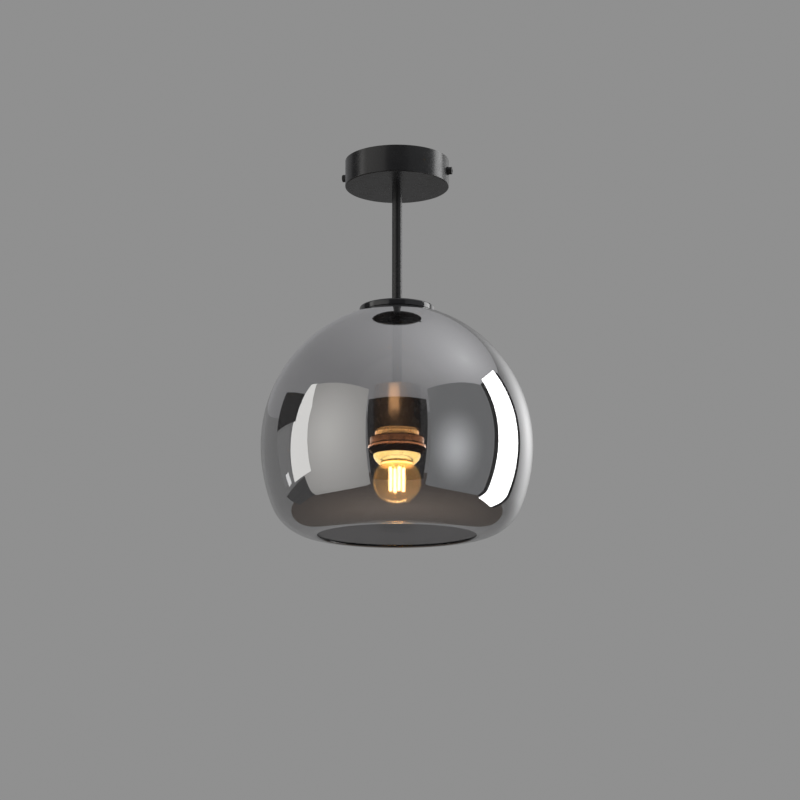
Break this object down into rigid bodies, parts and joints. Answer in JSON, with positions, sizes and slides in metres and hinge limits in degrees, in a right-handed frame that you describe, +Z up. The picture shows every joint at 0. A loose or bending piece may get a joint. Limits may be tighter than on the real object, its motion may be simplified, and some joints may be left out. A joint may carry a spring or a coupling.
{
  "type": "semi flush ceiling light",
  "caption": "Semi flush ceiling light: round canopy, stiff stem and an open smoked mirror glass globe clamped under a cap, with a screw lampholder and globe bulb inside.",
  "frame": {"origin": "centre of the bracket's two ceiling slots, on the ceiling plane, on the lamp's own axis", "axes": "+Z up into the ceiling along the stem, X along the bracket and the two side screws"},
  "size_m": [0.25, 0.25, 0.3575],
  "materials": {
    "black_satin_metal": "satin black powder coat",
    "black_gloss_metal": "gloss black lacquer",
    "zinc_steel": "bright zinc plated",
    "black_steel": "black oxide",
    "brass_plain": "turned brass, satin",
    "brass_polished": "polished and lacquered",
    "dark_bronze": "dark bronze, semi gloss",
    "smoked_mirror_glass": "smoke grey, half mirrored, gloss",
    "amber_glass": "pale amber, clear",
    "clear_glass": "clear",
    "black_rubber": "matt",
    "white_ceramic": "glazed",
    "block_plastic": "natural nylon",
    "nickel_plate": "nickel plated, rolled",
    "filament_glow": "lit phosphor coating",
    "circuit_board": "green board",
    "brown_insulation": "insulation",
    "blue_insulation": "insulation",
    "green_yellow_insulation": "insulation"
  },
  "bodies": {
    "fixture": {"mounting_bracket": "zinc_steel", "ceiling_canopy": "black_satin_metal", "terminal_block": "block_plastic", "terminal_sleeves": "brass_plain", "terminal_screws": "zinc_steel", "block_screw": "zinc_steel", "earth_screw": "zinc_steel", "earth_tag": "zinc_steel", "live_wire": "brown_insulation", "neutral_wire": "blue_insulation", "earth_wire": "green_yellow_insulation", "canopy_nipple": "zinc_steel", "canopy_washer": "zinc_steel", "canopy_nut": "zinc_steel", "upper_rod": "black_satin_metal", "glass_cap": "black_gloss_metal", "cap_gasket": "black_rubber", "glass_shade": "smoked_mirror_glass", "clamp_gasket": "black_rubber", "clamp_plate": "black_satin_metal", "shade_nipple": "zinc_steel", "shade_nut": "black_steel", "lower_rod": "black_satin_metal", "holder_nipple": "zinc_steel", "holder_nut": "zinc_steel", "holder_cup": "black_satin_metal", "holder_skirt": "brass_plain", "shade_ring": "dark_bronze", "nose_ring": "brass_polished", "lampholder_body": "white_ceramic", "holder_terminals": "brass_plain", "holder_terminal_screws": "zinc_steel", "screw_shell": "brass_plain", "centre_contact": "brass_plain", "contact_rivets": "brass_plain"},
    "bulb_slider": {"bulb_contact": "nickel_plate"},
    "bulb": {"bulb_insulator": "black_gloss_metal", "bulb_cap": "nickel_plate", "bulb_driver": "circuit_board", "bulb_glass": "amber_glass", "bulb_stem": "clear_glass", "bulb_filaments": "filament_glow", "bulb_lead_wires": "nickel_plate"},
    "left_washer": {"left_screw_washer": "black_steel"},
    "left_screw": {"left_side_screw": "black_steel"},
    "right_washer": {"right_screw_washer": "black_steel"},
    "right_screw": {"right_side_screw": "black_steel"}
  },
  "joints": [
    {"name": "bulb_travel", "type": "slide", "parent": "fixture", "child": "bulb_slider", "axis": [0, 0, -1], "range_m": [0, 0.01453]},
    {"name": "bulb_turn", "type": "hinge", "parent": "bulb_slider", "child": "bulb", "pos_m": [0, 0, -0.27], "axis": [0, 0, -1], "range_deg": [0, 1440]},
    {"name": "left_screw_travel", "type": "slide", "parent": "fixture", "child": "left_washer", "axis": [-1, 0, 0], "range_m": [0, 0.0063]},
    {"name": "left_screw_turn", "type": "hinge", "parent": "left_washer", "child": "left_screw", "pos_m": [-0.05, 0, -0.0127], "axis": [-1, 0, 0], "range_deg": [0, 3340]},
    {"name": "right_screw_travel", "type": "slide", "parent": "fixture", "child": "right_washer", "axis": [1, 0, 0], "range_m": [0, 0.0063]},
    {"name": "right_screw_turn", "type": "hinge", "parent": "right_washer", "child": "right_screw", "pos_m": [0.05, 0, -0.0127], "axis": [1, 0, 0], "range_deg": [0, 3340]}
  ],
  "couplings": [
    {"joint": "bulb_travel", "follows": "bulb_turn", "m_per_rad": 0.00057757},
    {"joint": "left_screw_turn", "follows": "left_screw_travel", "rad_per_m": 8976},
    {"joint": "right_screw_turn", "follows": "right_screw_travel", "rad_per_m": 8976}
  ]
}
